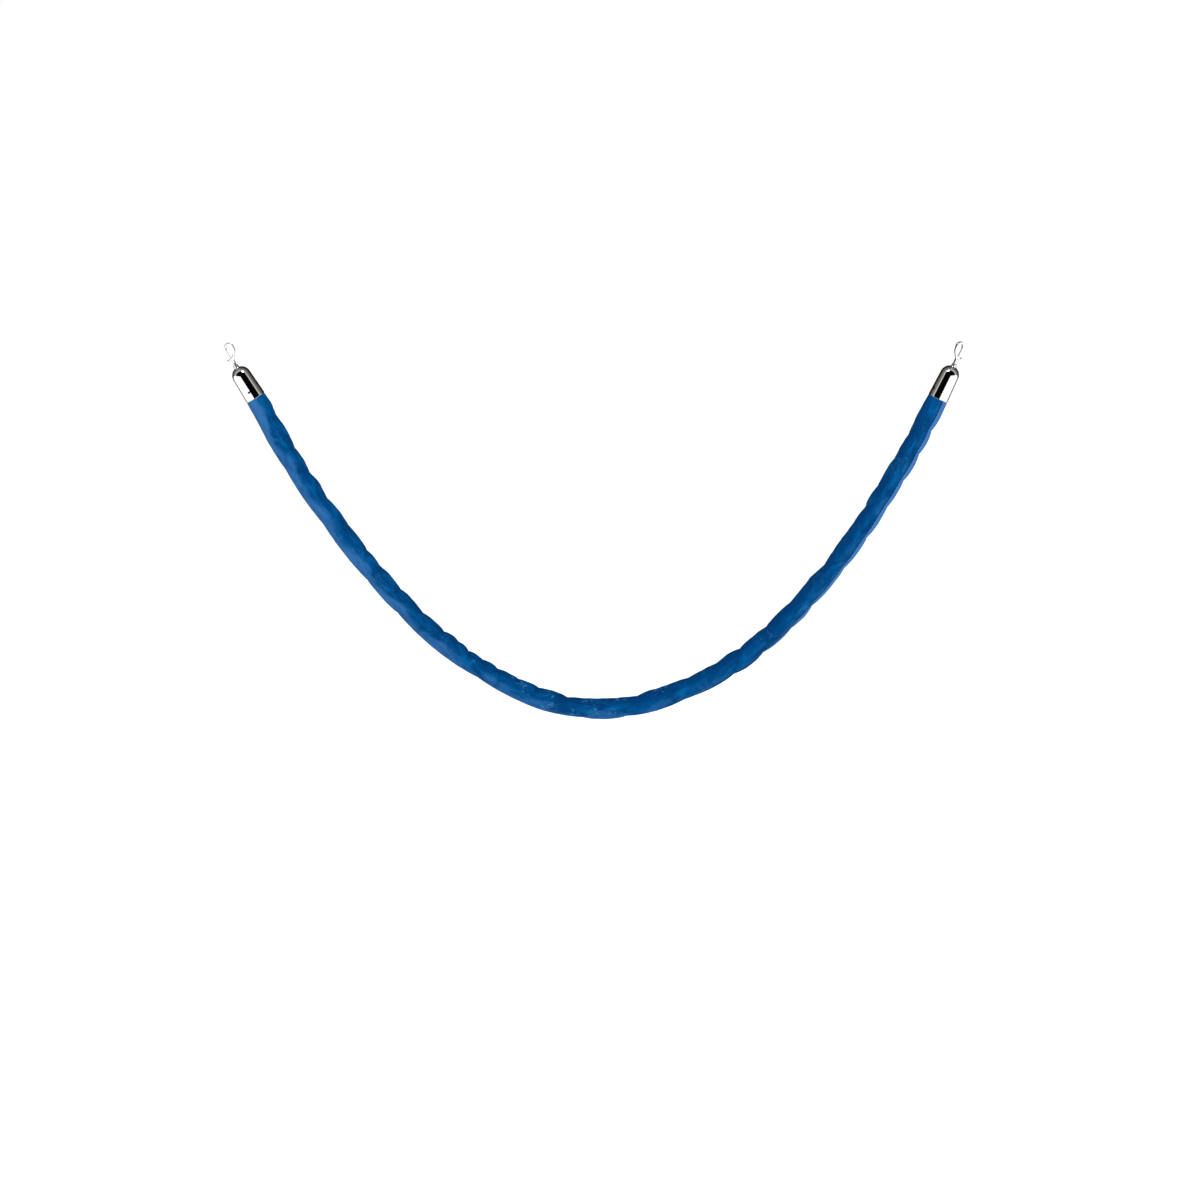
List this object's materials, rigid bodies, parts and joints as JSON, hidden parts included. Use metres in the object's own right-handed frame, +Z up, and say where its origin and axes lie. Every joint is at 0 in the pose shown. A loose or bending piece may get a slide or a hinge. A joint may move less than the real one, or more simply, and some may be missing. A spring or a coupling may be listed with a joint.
{
  "type": "velvet barrier rope",
  "caption": "Blue velvet barrier rope hanging in a swag, with chromed end caps and swivelling trigger snap hooks that clip to a post's rings.",
  "frame": {"origin": "middle of the round seat in the left hook's eye", "axes": "+X from the left hook to the right one, +Z up, +Y to the back, square to the plane the rope hangs in"},
  "size_m": [1.3476, 0.038, 0.7086],
  "materials": {
    "blue_velvet": "cut-pile velvet, royal blue",
    "foam": "soft open-cell foam",
    "cotton_cord": "undyed twisted cotton",
    "chromed_cap": "polished chrome plate",
    "chromed_hardware": "polished chrome plate",
    "turned_wood": "turned beech, unfinished",
    "blackened_steel": "black oxide",
    "zinc_plated_steel": "zinc plate",
    "spring_steel": "drawn wire, bright"
  },
  "bodies": {
    "rope": {"velvet_cover": "blue_velvet", "foam_filler": "foam", "core_cord": "cotton_cord", "left_end_cap": "chromed_cap", "left_end_plug": "turned_wood", "left_cap_screw_front": "blackened_steel", "left_cap_screw_back": "blackened_steel", "left_swivel_bush": "chromed_hardware", "right_end_cap": "chromed_cap", "right_end_plug": "turned_wood", "right_cap_screw_front": "blackened_steel", "right_cap_screw_back": "blackened_steel", "right_swivel_bush": "chromed_hardware"},
    "left_hook": {"left_hook_body": "chromed_hardware", "left_swivel_washer": "zinc_plated_steel", "left_swivel_rivet": "zinc_plated_steel", "left_gate_pin": "chromed_hardware", "left_gate_spring": "spring_steel"},
    "left_gate": {"left_gate": "chromed_hardware", "left_gate_knob": "chromed_hardware"},
    "right_hook": {"right_hook_body": "chromed_hardware", "right_swivel_washer": "zinc_plated_steel", "right_swivel_rivet": "zinc_plated_steel", "right_gate_pin": "chromed_hardware", "right_gate_spring": "spring_steel"},
    "right_gate": {"right_gate": "chromed_hardware", "right_gate_knob": "chromed_hardware"}
  },
  "joints": [
    {"name": "left_hook_swivel", "type": "hinge", "parent": "rope", "child": "left_hook", "pos_m": [0.01244, 0, -0.03535], "axis": [-0.5163, 0, 0.8564], "continuous": true},
    {"name": "left_gate_hinge", "type": "hinge", "parent": "left_hook", "child": "left_gate", "pos_m": [0.00444, 0, -0.02441], "axis": [0, 1, 0], "range_deg": [0, 27], "stiffness_Nm_per_rad": 0.012, "springref_deg": -25.78, "deforming": ["left_gate_spring"]},
    {"name": "right_hook_swivel", "type": "hinge", "parent": "rope", "child": "right_hook", "pos_m": [1.3201, 0, -0.03293], "axis": [0.4168, 0, 0.909], "continuous": true},
    {"name": "right_gate_hinge", "type": "hinge", "parent": "right_hook", "child": "right_gate", "pos_m": [1.32665, 0.00064, -0.02109], "axis": [0.4817, -0.848, -0.2209], "range_deg": [0, 27], "stiffness_Nm_per_rad": 0.012, "springref_deg": -25.78, "deforming": ["right_gate_spring"]}
  ]
}
